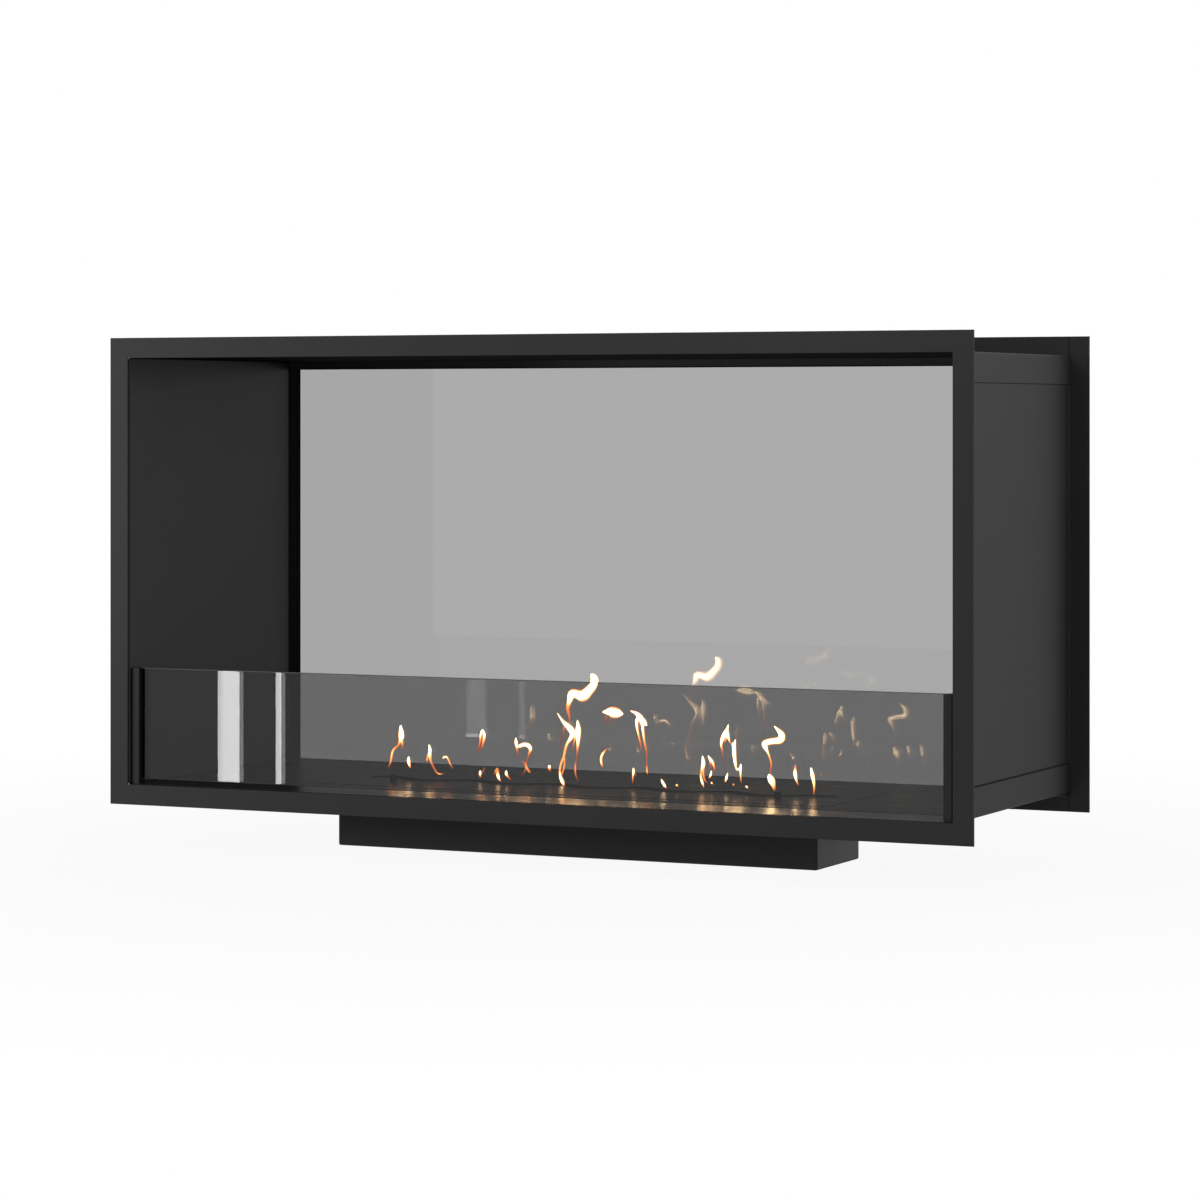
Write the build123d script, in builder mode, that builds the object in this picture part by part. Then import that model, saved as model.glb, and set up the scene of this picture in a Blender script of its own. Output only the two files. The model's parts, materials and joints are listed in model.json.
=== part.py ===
"""See-through bioethanol fireplace insert.

X runs along the width, the front faces -Y and Z points up. The origin is the
centre of the burner housing's underside, which is the lowest face.
"""

import math
import os

from build123d import *

os.makedirs("parts", exist_ok=True)

# ---------------------------------------------------------------- casing sizes
flange_width = 1200.0
flange_height = 612.0
flange_rim = 26.3  # width of the picture-frame flange around its opening
flange_thickness = 3.0
casing_depth = 440.0  # front face of the front flange to back of the rear one
flange_drop = 57.0  # the flanges' lower edge above the housing's underside
sheet = 1.5  # sheet steel of the casing, the housing and the tank
bend_radius = 1.0  # inside radius of every fold
lip_inset = 1.5  # folded lips, welded to the backs of the flanges, end this far inside their outline
lip_relief = 1.2  # cut-back where the folds of two sheets meet at a corner
seam_gap = 1.0  # side panels stop this far from the folds of tray and cover
floor_rise = 0.5  # the floor stands this far above the opening's lower edge
side_lap = 36.8  # height of the cover's and the tray's laps over the side panels

# ------------------------------------------------------------ front glass sizes
front_glass_thickness = 6.0
front_glass_height = 145.5
front_glass_gap = 6.7  # clear strip between the floor and the front glass
glass_arris = 0.8  # ground edges of both panes
holder_wall_gap = 1.9  # holder to side wall, kept by the spacers
holder_width = 10.4
holder_depth = 17.0
holder_wall = 2.0
holder_setback = 2.8  # holder to the back of the front flange
holder_front_seal = 5.2
holder_edge_seal = 1.8
glass_play = 0.3
holder_screw_low = 46.0  # above the floor
holder_screw_high = 131.0

# ------------------------------------------------------------- rear glass sizes
rear_glass_thickness = 4.0
rear_channel_depth = 10.0
rear_leg = 9.0  # legs of the channel round the rear pane
gasket_face = 1.5  # gasket between the pane and each leg of its channel
gasket_show = 2.0  # gasket that stands proud of the legs
gasket_edge = 1.8
gutter_depth = 6.0  # recess in the floor that takes the pane's lower edge
rivet_spacing = 270.0
rivet_count = 4

# --------------------------------------------------------- burner housing sizes
housing_length = 681.0
housing_width = 144.0
plate_end_overhang = 29.5  # top plate past the housing's ends
plate_side_overhang = 33.0  # top plate past the housing's long sides
plate_thickness = 2.0
plate_clearance = 1.0  # seam around the burner's top plate
rim_border = 20.0  # part of the housing's rim that is bolted under the floor
rim_corner = 5.0
housing_corner = 3.0
stud_radius = 2.5
stud_length = 12.0
stud_clearance = 0.3
stud_spacing = 280.0
stud_columns = 3

# ------------------------------------------------------------ slot and shutter
half_wave_count = 11  # half waves of the slot from end to end of the tank
wave_height = 13.0
slot_width = 30.0  # measured along Y
points_per_wave = 4  # spline points on each half wave
guide_thickness = 2.0
guide_window_inset = 0.5  # long sides of the guide's window, inside the tank's wall
guide_inset = 4.0  # guide frame and tank flange inside the plate's outline
shutter_bearing = 15.5  # length of the tank's flange under each end of the shutter
shutter_thickness = 1.2
shutter_lap = 2.0  # overlap of shutter and plate at each edge of the slot
shutter_clearance = 0.3
shutter_fold = 7.0
tab_wave_count = 2  # half waves from the middle of the slot to each pull tab
tab_width = 12.0
tab_reach = 11.0
hook_hole_radius = 2.5

# ------------------------------------------------------------ tank and its wick
tank_gap = 2.0  # tank to housing wall
tank_bottom = 24.0
tank_corner = 4.0
baffle_count = 5
baffle_spacing = 110.0
baffle_height = 26.5
baffle_notch_width = 22.0
baffle_notch_height = 7.0
wick_end_gap = 13.5  # wick to the tank's end walls
wick_side_gap = 23.0  # wick to the tank's long walls
wick_height = 16.0
grille_sheet = 1.2
grille_play = 0.8
grille_slot_length = 20.0
grille_slot_width = 6.0
grille_slot_spacing = 29.0
grille_row_spacing = 26.0
grille_row_count = 3

# -------------------------------------------------------- knobs and small parts
knob_radius = 4.25
knob_height = 9.5
knob_chamfer = 0.6
knob_spigot_radius = 2.5
knob_wave_count = 4.5  # half waves from the middle of the slot to each knob
knob_offset_y = 41.0
screw_radius = 2.0
screw_head_radius = 3.5
screw_clearance = 0.1
screw_end = 2.0  # screw past its nut
countersink = 45.0  # half the angle of every sunk head
nut_thickness = 3.2
nut_across_flats = 7.0
rivet_radius = 1.6
rivet_head_radius = 3.0
rivet_tail_radius = 2.4
rivet_tail_height = 3.0
stud_nut_thickness = 4.0
stud_nut_across_flats = 8.0
spacer_radius = 5.0

# --------------------------------------------------- levels and faces that follow
opening_width = flange_width - 2 * flange_rim
opening_height = flange_height - 2 * flange_rim
flange_middle = flange_drop + flange_height / 2
flange_top = flange_drop + flange_height
lip_side = flange_width / 2 - lip_inset
lip_top = flange_top - lip_inset
lip_bottom = flange_drop + lip_inset
opening_bottom = flange_drop + flange_rim
ceiling = opening_bottom + opening_height
floor_top = opening_bottom + floor_rise
floor_under = floor_top - sheet
wall_outer = opening_width / 2
wall_inner = wall_outer - sheet
flange_back = casing_depth / 2 - flange_thickness
lap_end = flange_back - sheet - lip_relief
half_sheet = sheet / 2
fold = bend_radius + half_sheet  # fold radius at the middle of the sheet
lap_middle = wall_outer + half_sheet
lip_middle = flange_back - half_sheet

glass_holder_out = wall_inner - holder_wall_gap
glass_holder_in = glass_holder_out - holder_width
holder_front = flange_back - holder_setback
front_glass_face = holder_front - holder_wall - holder_front_seal - glass_play
front_glass_back = front_glass_face - front_glass_thickness
front_glass_half = glass_holder_out - holder_wall - holder_edge_seal - glass_play
front_glass_bottom = floor_top + front_glass_gap
front_glass_top = front_glass_bottom + front_glass_height
holder_middle_y = -(holder_front - holder_depth / 2)
front_glass_middle_y = -(front_glass_face + front_glass_back) / 2

rear_channel_front = flange_back - rear_channel_depth
rear_pane_front = rear_channel_front + sheet + gasket_face
rear_channel_middle = rear_channel_front + rear_channel_depth / 2
gutter_floor = floor_top - gutter_depth
gasket_half = wall_inner - sheet
gasket_top = ceiling - sheet
pane_half = gasket_half - gasket_edge
pane_bottom = gutter_floor + gasket_edge
pane_top = gasket_top - gasket_edge

plate_under = floor_under
plate_top = plate_under + plate_thickness
tank_flange_top = plate_under - guide_thickness
ledge_top = tank_flange_top - sheet
plate_length = housing_length + 2 * plate_end_overhang
plate_width = housing_width + 2 * plate_side_overhang
recess_length = plate_length + 2 * plate_clearance
recess_width = plate_width + 2 * plate_clearance
rim_length = recess_length + 2 * sheet + 2 * rim_border
rim_width = recess_width + 2 * sheet + 2 * rim_border
guide_length = plate_length - 2 * guide_inset
guide_width = plate_width - 2 * guide_inset
tank_length = housing_length - 2 * sheet - 2 * tank_gap
tank_width = housing_width - 2 * sheet - 2 * tank_gap
tank_inner_length = tank_length - 2 * sheet
tank_inner_width = tank_width - 2 * sheet
tank_floor = tank_bottom + sheet
guide_window_length = tank_inner_length + 2 * shutter_bearing
guide_window_width = tank_inner_width - 2 * guide_window_inset

half_wave = tank_inner_length / half_wave_count
slot_half = tank_inner_length / 2
slot_run = slot_half - slot_width / 2
shutter_travel = slot_width + 2 * shutter_lap
shutter_under = tank_flange_top + shutter_clearance
shutter_half = guide_window_length / 2 - shutter_clearance
shutter_front = -(guide_window_width / 2 - shutter_clearance)
shutter_ear_back = guide_window_width / 2 - shutter_clearance - shutter_travel
shutter_ear = shutter_half - slot_half - shutter_lap
baffle_top = tank_floor + baffle_height
wick_length = tank_inner_length - 2 * wick_end_gap
wick_width = tank_inner_width - 2 * wick_side_gap
wick_top = baffle_top + wick_height
grille_length = wick_length + 2 * grille_play + 2 * grille_sheet
grille_width = wick_width + 2 * grille_play + 2 * grille_sheet
grille_slot_count = math.floor(wick_length / grille_slot_spacing)
knob_offset_x = knob_wave_count * half_wave
tab_column = tab_wave_count * half_wave
stud_row_y = (recess_width + rim_border) / 2 + sheet
stud_end_x = (recess_length + rim_border) / 2 + sheet
stud_places = [
    ((column - (stud_columns - 1) / 2) * stud_spacing, side * stud_row_y)
    for column in range(stud_columns)
    for side in (-1, 1)
]
stud_places += [(-stud_end_x, 0), (stud_end_x, 0)]
holder_screw_levels = (floor_top + holder_screw_low, floor_top + holder_screw_high)


def wave(x):
    """Centre line of the burner slot."""
    return -wave_height * math.cos(math.pi * x / half_wave)


def wave_points(half_length, shift):
    """Even points along the wave, moved by shift in Y."""
    count = points_per_wave * half_wave_count
    stations = [half_length * (2 * step / count - 1) for step in range(count + 1)]
    return [(x, wave(x) + shift) for x in stations]


def save(piece, name):
    """Label a finished piece and write it to its own file."""
    piece.part.label = name
    export_step(piece.part, f"parts/{name}.step")


# --------------------------------------------------------------------- flanges
# Plane.XZ looks along +Y, so offset(y) lies at -y and an extrusion runs to -Y.
for flange_name, flange_start in (("front_flange", flange_back), ("rear_flange", -casing_depth / 2)):
    with BuildPart() as flange:
        with BuildSketch(Plane.XZ.offset(flange_start)):
            with Locations((0, flange_middle)):
                Rectangle(flange_width, flange_height)
                Rectangle(opening_width, opening_height, mode=Mode.SUBTRACT)
        extrude(amount=flange_thickness)
    save(flange, flange_name)

# ------------------------------------------------------------------- top cover
cover_middle = ceiling + half_sheet
with BuildPart() as top_cover:
    with BuildSketch(Plane.YZ):
        with BuildLine():
            FilletPolyline(
                (-lip_middle, lip_top),
                (-lip_middle, cover_middle),
                (lip_middle, cover_middle),
                (lip_middle, lip_top),
                radius=fold,
            )
        trace(line_width=sheet)
    extrude(amount=wall_inner, both=True)
    for side in (-1, 1):
        with BuildSketch(Plane.XZ):
            with BuildLine():
                FilletPolyline(
                    (side * wall_inner, cover_middle),
                    (side * lap_middle, cover_middle),
                    (side * lap_middle, ceiling + sheet - side_lap),
                    radius=fold,
                )
            trace(line_width=sheet)
        extrude(amount=lap_end, both=True)
    with Locations(Plane.XY.offset(ceiling)):
        with Locations((0, rear_channel_middle)):
            with GridLocations(rivet_spacing, 0, rivet_count, 1):
                Hole(rivet_radius + screw_clearance)
save(top_cover, "top_cover")

# ------------------------------------------------------------------ floor tray
floor_middle = floor_top - half_sheet
gutter_wall = rear_channel_front + half_sheet
gutter_end_depth = lip_middle - fold - gutter_wall
with BuildPart() as floor_tray:
    with BuildSketch(Plane.YZ):
        with BuildLine():
            FilletPolyline(
                (-lip_middle, lip_bottom),
                (-lip_middle, floor_middle),
                (gutter_wall, floor_middle),
                (gutter_wall, gutter_floor - half_sheet),
                (lip_middle, gutter_floor - half_sheet),
                (lip_middle, lip_bottom),
                radius=fold,
            )
        trace(line_width=sheet)
    extrude(amount=wall_inner, both=True)
    for side in (-1, 1):
        with BuildSketch(Plane.XZ):
            with BuildLine():
                FilletPolyline(
                    (side * wall_inner, floor_middle),
                    (side * lap_middle, floor_middle),
                    (side * lap_middle, floor_under + side_lap),
                    radius=fold,
                )
            trace(line_width=sheet)
        extrude(amount=lap_end, both=True)
        with BuildSketch(Plane.YZ.offset(side * (wall_inner - half_sheet))):
            with Locations((gutter_wall, gutter_floor)):
                Rectangle(gutter_end_depth, gutter_depth, align=(Align.MIN, Align.MIN))
        extrude(amount=half_sheet, both=True)
    with BuildSketch(Plane.XY.offset(floor_under)):
        Rectangle(recess_length, recess_width)
    extrude(amount=sheet, mode=Mode.SUBTRACT)
save(floor_tray, "floor_tray")

# ----------------------------------------------------------------- side panels
panel_bottom = floor_top + seam_gap
panel_top = ceiling - seam_gap
for side, panel_name in ((-1, "left_side_panel"), (1, "right_side_panel")):
    with BuildPart() as side_panel:
        with BuildSketch(Plane.XY.offset(panel_bottom)):
            with BuildLine():
                FilletPolyline(
                    (side * lip_side, -lip_middle),
                    (side * (wall_outer - half_sheet), -lip_middle),
                    (side * (wall_outer - half_sheet), lip_middle),
                    (side * lip_side, lip_middle),
                    radius=fold,
                )
            trace(line_width=sheet)
        extrude(amount=panel_top - panel_bottom)
        for level in holder_screw_levels:
            with BuildSketch(Plane.YZ.offset(side * (wall_outer - sheet / 2))):
                with Locations((holder_middle_y, level)):
                    Circle(screw_radius + screw_clearance)
            extrude(amount=sheet, both=True, mode=Mode.SUBTRACT)
    save(side_panel, panel_name)

# -------------------------------------------------------- front glass, holders
with BuildPart() as front_glass:
    with BuildSketch(Plane.XZ.offset(front_glass_back)):
        with Locations((0, front_glass_bottom + front_glass_height / 2)):
            Rectangle(2 * front_glass_half, front_glass_height)
    extrude(amount=front_glass_thickness)
    chamfer(front_glass.edges().filter_by(Axis.Y, reverse=True), glass_arris)
save(front_glass, "front_glass")

holder_height = front_glass_top - floor_top
channel_inside = holder_depth - 2 * holder_wall
for side, side_name in ((-1, "left"), (1, "right")):
    holder_centre_x = side * (glass_holder_out - holder_width / 2)
    inside_centre_x = side * (glass_holder_out - (holder_width + holder_wall) / 2)
    web_face = side * (glass_holder_out - holder_wall)
    with BuildPart() as glass_holder:
        with BuildSketch(Plane.XY.offset(floor_top)):
            with Locations((holder_centre_x, holder_middle_y)):
                Rectangle(holder_width, holder_depth)
            with Locations((inside_centre_x, holder_middle_y)):
                Rectangle(holder_width - holder_wall, channel_inside, mode=Mode.SUBTRACT)
        extrude(amount=holder_height)
        for level in holder_screw_levels:
            head_plane = Plane((web_face, holder_middle_y, level), x_dir=(0, 1, 0), z_dir=(side, 0, 0))
            with BuildSketch(head_plane):
                Circle(screw_head_radius + screw_clearance)
            extrude(amount=screw_head_radius - screw_radius, taper=countersink, mode=Mode.SUBTRACT)
            with BuildSketch(head_plane):
                Circle(screw_radius + screw_clearance)
            extrude(amount=holder_wall, mode=Mode.SUBTRACT)
    save(glass_holder, f"{side_name}_glass_holder")

    groove_width = front_glass_half + glass_play - glass_holder_in
    groove_depth = front_glass_thickness + 2 * glass_play
    with BuildPart() as holder_seal:
        with BuildSketch(Plane.XY.offset(floor_top)):
            with Locations((inside_centre_x, holder_middle_y)):
                Rectangle(holder_width - holder_wall, channel_inside)
            with Locations((side * (glass_holder_in + groove_width / 2), front_glass_middle_y)):
                Rectangle(groove_width, groove_depth, mode=Mode.SUBTRACT)
        extrude(amount=holder_height)
    save(holder_seal, f"{side_name}_holder_seal")

with BuildPart() as glass_rest_pads:
    with BuildSketch(Plane.XY.offset(floor_top)):
        for side in (-1, 1):
            with Locations((side * (glass_holder_in + groove_width / 2), front_glass_middle_y)):
                Rectangle(groove_width, groove_depth)
    extrude(amount=front_glass_gap)
save(glass_rest_pads, "glass_rest_pads")

with BuildPart() as holder_screws:
    for side in (-1, 1):
        for level in holder_screw_levels:
            head_face = (side * (glass_holder_out - holder_wall), holder_middle_y, level)
            head_plane = Plane(head_face, x_dir=(0, 1, 0), z_dir=(side, 0, 0))
            with BuildSketch(head_plane):
                Circle(screw_head_radius)
            extrude(amount=screw_head_radius - screw_radius, taper=countersink)
            with BuildSketch(head_plane):
                Circle(screw_radius)
            extrude(amount=holder_wall + holder_wall_gap + sheet + nut_thickness + screw_end)
save(holder_screws, "holder_screws")

with BuildPart() as holder_spacers:
    for side in (-1, 1):
        for level in holder_screw_levels:
            spacer_face = (side * glass_holder_out, holder_middle_y, level)
            with BuildSketch(Plane(spacer_face, x_dir=(0, 1, 0), z_dir=(side, 0, 0))):
                Circle(spacer_radius)
                Circle(screw_radius + screw_clearance, mode=Mode.SUBTRACT)
            extrude(amount=holder_wall_gap)
save(holder_spacers, "holder_spacers")

with BuildPart() as holder_nuts:
    for side in (-1, 1):
        for level in holder_screw_levels:
            nut_face = (side * wall_outer, holder_middle_y, level)
            with BuildSketch(Plane(nut_face, x_dir=(0, 1, 0), z_dir=(side, 0, 0))):
                RegularPolygon(nut_across_flats / 2, 6, major_radius=False)
                Circle(screw_radius + screw_clearance, mode=Mode.SUBTRACT)
            extrude(amount=nut_thickness)
save(holder_nuts, "holder_nuts")

# --------------------------------------------------------- rear pane, channels
with BuildPart() as rear_glass:
    with BuildSketch(Plane.XZ.offset(-rear_pane_front - rear_glass_thickness)):
        with Locations((0, (pane_bottom + pane_top) / 2)):
            Rectangle(2 * pane_half, pane_top - pane_bottom)
    extrude(amount=rear_glass_thickness)
save(rear_glass, "rear_glass")

channel_slot = rear_channel_depth - 2 * sheet
for side, channel_name in ((-1, "rear_channel_left"), (1, "rear_channel_right")):
    with BuildPart() as rear_channel:
        with BuildSketch(Plane.XY.offset(floor_top)):
            with Locations((side * (wall_inner - rear_leg / 2), rear_channel_middle)):
                Rectangle(rear_leg, rear_channel_depth)
            with Locations((side * (wall_inner - (rear_leg + sheet) / 2), rear_channel_middle)):
                Rectangle(rear_leg - sheet, channel_slot, mode=Mode.SUBTRACT)
        extrude(amount=ceiling - floor_top)
    save(rear_channel, channel_name)

top_channel_half = wall_inner - rear_leg
with BuildPart() as rear_channel_top:
    with BuildSketch(Plane.YZ):
        with Locations((rear_channel_middle, ceiling)):
            Rectangle(rear_channel_depth, rear_leg, align=(Align.CENTER, Align.MAX))
        with Locations((rear_channel_middle, ceiling - sheet)):
            Rectangle(
                channel_slot, rear_leg, align=(Align.CENTER, Align.MAX), mode=Mode.SUBTRACT
            )
    extrude(amount=top_channel_half, both=True)
    with BuildSketch(Plane.XY.offset(gasket_top)):
        with Locations((0, rear_channel_middle)):
            with GridLocations(rivet_spacing, 0, rivet_count, 1):
                Circle(rivet_head_radius + screw_clearance)
    extrude(amount=rivet_head_radius - rivet_radius, taper=countersink, mode=Mode.SUBTRACT)
    with BuildSketch(Plane.XY.offset(gasket_top)):
        with Locations((0, rear_channel_middle)):
            with GridLocations(rivet_spacing, 0, rivet_count, 1):
                Circle(rivet_radius + screw_clearance)
    extrude(amount=sheet, mode=Mode.SUBTRACT)
save(rear_channel_top, "rear_channel_top")

with BuildPart() as rear_channel_rivets:
    with BuildSketch(Plane.XY.offset(gasket_top)):
        with Locations((0, rear_channel_middle)):
            with GridLocations(rivet_spacing, 0, rivet_count, 1):
                Circle(rivet_head_radius)
    extrude(amount=rivet_head_radius - rivet_radius, taper=countersink)
    with BuildSketch(Plane.XY.offset(gasket_top)):
        with Locations((0, rear_channel_middle)):
            with GridLocations(rivet_spacing, 0, rivet_count, 1):
                Circle(rivet_radius)
    extrude(amount=2 * sheet)
    with BuildSketch(Plane.XY.offset(ceiling + sheet)):
        with Locations((0, rear_channel_middle)):
            with GridLocations(rivet_spacing, 0, rivet_count, 1):
                Circle(rivet_tail_radius)
    extrude(amount=rivet_tail_height)
save(rear_channel_rivets, "rear_channel_rivets")

window_half = top_channel_half - gasket_show
window_top = ceiling - rear_leg - gasket_show
with BuildPart() as rear_glass_gasket:
    with BuildSketch(Plane.XZ.offset(-flange_back + sheet)):
        with Locations((0, (gutter_floor + gasket_top) / 2)):
            Rectangle(2 * gasket_half, gasket_top - gutter_floor)
        with Locations((0, (floor_top + window_top) / 2)):
            Rectangle(2 * window_half, window_top - floor_top, mode=Mode.SUBTRACT)
    extrude(amount=channel_slot)
    lower_edges = rear_glass_gasket.edges().filter_by(Axis.X).group_by(Axis.Z)[0]
    chamfer(lower_edges.sort_by(Axis.Y)[0], bend_radius)
    with BuildSketch(Plane.XZ.offset(-flange_back)):
        with Locations((0, (gutter_floor + opening_bottom) / 2)):
            Rectangle(2 * gasket_half, opening_bottom - gutter_floor)
    extrude(amount=sheet)
    with BuildSketch(Plane.XZ.offset(-rear_pane_front - rear_glass_thickness)):
        with Locations((0, (pane_bottom + pane_top) / 2)):
            Rectangle(2 * pane_half, pane_top - pane_bottom)
    extrude(amount=rear_glass_thickness, mode=Mode.SUBTRACT)
save(rear_glass_gasket, "rear_glass_gasket")

# -------------------------------------------------------------- burner housing
with BuildPart() as burner_housing:
    with BuildSketch():
        RectangleRounded(housing_length, housing_width, housing_corner)
    extrude(amount=ledge_top)
    fillet(burner_housing.faces().sort_by(Axis.Z)[0].edges(), bend_radius + sheet)
    with BuildSketch(Plane.XY.offset(sheet)):
        RectangleRounded(
            housing_length - 2 * sheet, housing_width - 2 * sheet, housing_corner - sheet
        )
    extrude(amount=ledge_top, mode=Mode.SUBTRACT)
    with BuildSketch(Plane.XY.offset(ledge_top - sheet)):
        Rectangle(recess_length + 2 * sheet, recess_width + 2 * sheet)
        Rectangle(housing_length - 2 * sheet, housing_width - 2 * sheet, mode=Mode.SUBTRACT)
    extrude(amount=sheet)
    with BuildSketch(Plane.XY.offset(ledge_top - sheet)):
        Rectangle(recess_length + 2 * sheet, recess_width + 2 * sheet)
        Rectangle(recess_length, recess_width, mode=Mode.SUBTRACT)
    extrude(amount=floor_under - ledge_top + sheet)
    with BuildSketch(Plane.XY.offset(floor_under - sheet)):
        RectangleRounded(rim_length, rim_width, rim_corner)
        Rectangle(recess_length, recess_width, mode=Mode.SUBTRACT)
        with Locations(*stud_places):
            Circle(stud_radius + stud_clearance, mode=Mode.SUBTRACT)
    extrude(amount=sheet)
save(burner_housing, "burner_housing")

with BuildPart() as housing_studs:
    with BuildSketch(Plane.XY.offset(floor_under - stud_length)):
        with Locations(*stud_places):
            Circle(stud_radius)
    extrude(amount=stud_length)
save(housing_studs, "housing_studs")

with BuildPart() as housing_nuts:
    with BuildSketch(Plane.XY.offset(floor_under - sheet - stud_nut_thickness)):
        with Locations(*stud_places):
            RegularPolygon(stud_nut_across_flats / 2, 6, major_radius=False)
            Circle(stud_radius + screw_clearance, mode=Mode.SUBTRACT)
    extrude(amount=stud_nut_thickness)
save(housing_nuts, "housing_nuts")

# ------------------------------------------------------- top plate and its knobs
with BuildPart() as burner_top_plate:
    with BuildSketch(Plane.XY.offset(plate_under)):
        RectangleRounded(plate_length, plate_width, plate_thickness)
        with BuildLine():
            rear_edge = Spline(*wave_points(slot_run, slot_width / 2))
            front_edge = Spline(*wave_points(slot_run, -slot_width / 2))
            ThreePointArc(rear_edge @ 1, (slot_half, wave(slot_run)), front_edge @ 1)
            ThreePointArc(rear_edge @ 0, (-slot_half, wave(slot_run)), front_edge @ 0)
        make_face(mode=Mode.SUBTRACT)
        with Locations((-knob_offset_x, -knob_offset_y), (knob_offset_x, -knob_offset_y)):
            Circle(knob_spigot_radius + screw_clearance, mode=Mode.SUBTRACT)
    extrude(amount=plate_thickness)
save(burner_top_plate, "burner_top_plate")

with BuildPart() as lift_knobs:
    with BuildSketch(Plane.XY.offset(plate_top)):
        with Locations((-knob_offset_x, -knob_offset_y), (knob_offset_x, -knob_offset_y)):
            Circle(knob_radius)
    extrude(amount=knob_height)
    chamfer(lift_knobs.faces().group_by(Axis.Z)[-1].edges(), knob_chamfer)
    with BuildSketch(Plane.XY.offset(plate_under)):
        with Locations((-knob_offset_x, -knob_offset_y), (knob_offset_x, -knob_offset_y)):
            Circle(knob_spigot_radius)
    extrude(amount=plate_thickness)
save(lift_knobs, "lift_knobs")

# ------------------------------------------------------ shutter and guide frame
with BuildPart() as shutter_guide_frame:
    with BuildSketch(Plane.XY.offset(tank_flange_top)):
        Rectangle(guide_length, guide_width)
        RectangleRounded(
            guide_window_length, guide_window_width, shutter_clearance, mode=Mode.SUBTRACT
        )
    extrude(amount=guide_thickness)
save(shutter_guide_frame, "shutter_guide_frame")

edge_shift = -slot_width / 2 - shutter_lap
tab_root = wave(tab_column) + edge_shift
with BuildPart() as shutter:
    with BuildSketch(Plane.XY.offset(shutter_under)):
        with BuildLine():
            wave_edge = Spline(*wave_points(slot_half, edge_shift))
            Polyline(
                wave_edge @ 1,
                (shutter_half, (wave_edge @ 1).Y),
                (shutter_half, shutter_front),
                (-shutter_half, shutter_front),
                (-shutter_half, (wave_edge @ 0).Y),
                wave_edge @ 0,
            )
        make_face()
        ear_length = shutter_ear_back - shutter_front
        for side in (-1, 1):
            with Locations((side * (shutter_half - shutter_ear / 2), shutter_front + ear_length / 2)):
                Rectangle(shutter_ear, ear_length)
            with Locations((side * tab_column, tab_root)):
                SlotOverall(2 * tab_reach, tab_width, rotation=90)
            with Locations((side * tab_column, tab_root + tab_reach - tab_width / 2)):
                Circle(hook_hole_radius, mode=Mode.SUBTRACT)
    extrude(amount=shutter_thickness)
    with BuildSketch(Plane.XY.offset(shutter_under - shutter_fold)):
        with Locations((0, shutter_front + shutter_thickness / 2)):
            Rectangle(tank_inner_length - 2 * lip_relief, shutter_thickness)
    extrude(amount=shutter_fold)
save(shutter, "shutter")

# ------------------------------------------------------------------- fuel tank
with BuildPart() as fuel_tank:
    with BuildSketch(Plane.XY.offset(tank_bottom)):
        RectangleRounded(tank_length, tank_width, tank_corner)
    extrude(amount=tank_flange_top - tank_bottom)
    fillet(fuel_tank.faces().sort_by(Axis.Z)[0].edges(), bend_radius + sheet)
    with BuildSketch(Plane.XY.offset(tank_flange_top - sheet)):
        Rectangle(guide_length, guide_width)
    extrude(amount=sheet)
    with BuildSketch(Plane.XY.offset(tank_floor)):
        RectangleRounded(tank_inner_length, tank_inner_width, tank_corner - sheet)
    extrude(amount=tank_flange_top - tank_floor, mode=Mode.SUBTRACT)
save(fuel_tank, "fuel_tank")

with BuildPart() as tank_baffles:
    for index in range(baffle_count):
        baffle_x = (index - (baffle_count - 1) / 2) * baffle_spacing
        with BuildSketch(Plane.YZ.offset(baffle_x)):
            with Locations((0, tank_floor)):
                Rectangle(
                    tank_inner_width - 2 * glass_play, baffle_height, align=(Align.CENTER, Align.MIN)
                )
            with Locations((0, tank_floor)):
                with GridLocations(tank_inner_width / 2, 0, 2, 1):
                    Rectangle(baffle_notch_width, 2 * baffle_notch_height, mode=Mode.SUBTRACT)
        extrude(amount=half_sheet, both=True)
save(tank_baffles, "tank_baffles")

with BuildPart() as wick_pad:
    with BuildSketch(Plane.XY.offset(baffle_top)):
        RectangleRounded(wick_length, wick_width, tank_corner)
    extrude(amount=wick_height)
save(wick_pad, "wick_pad")

with BuildPart() as wick_grille:
    with BuildSketch(Plane.XY.offset(baffle_top)):
        Rectangle(grille_length, grille_width)
    extrude(amount=wick_height + grille_sheet)
    with BuildSketch(Plane.XY.offset(baffle_top)):
        Rectangle(grille_length - 2 * grille_sheet, grille_width - 2 * grille_sheet)
    extrude(amount=wick_height, mode=Mode.SUBTRACT)
    with BuildSketch(Plane.XY.offset(wick_top)):
        with GridLocations(grille_slot_spacing, grille_row_spacing, grille_slot_count, grille_row_count):
            Rectangle(grille_slot_length, grille_slot_width)
    extrude(amount=grille_sheet, mode=Mode.SUBTRACT)
save(wick_grille, "wick_grille")
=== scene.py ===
"""Finishes, flames and studio of the see-through bioethanol fireplace insert.

Lengths are in metres, in the frame of the sheet metal model: X runs along the
width, the front faces -Y and Z points up from the burner housing's underside.
"""

import json
import math

import bmesh
import bpy
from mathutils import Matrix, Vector, noise


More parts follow.
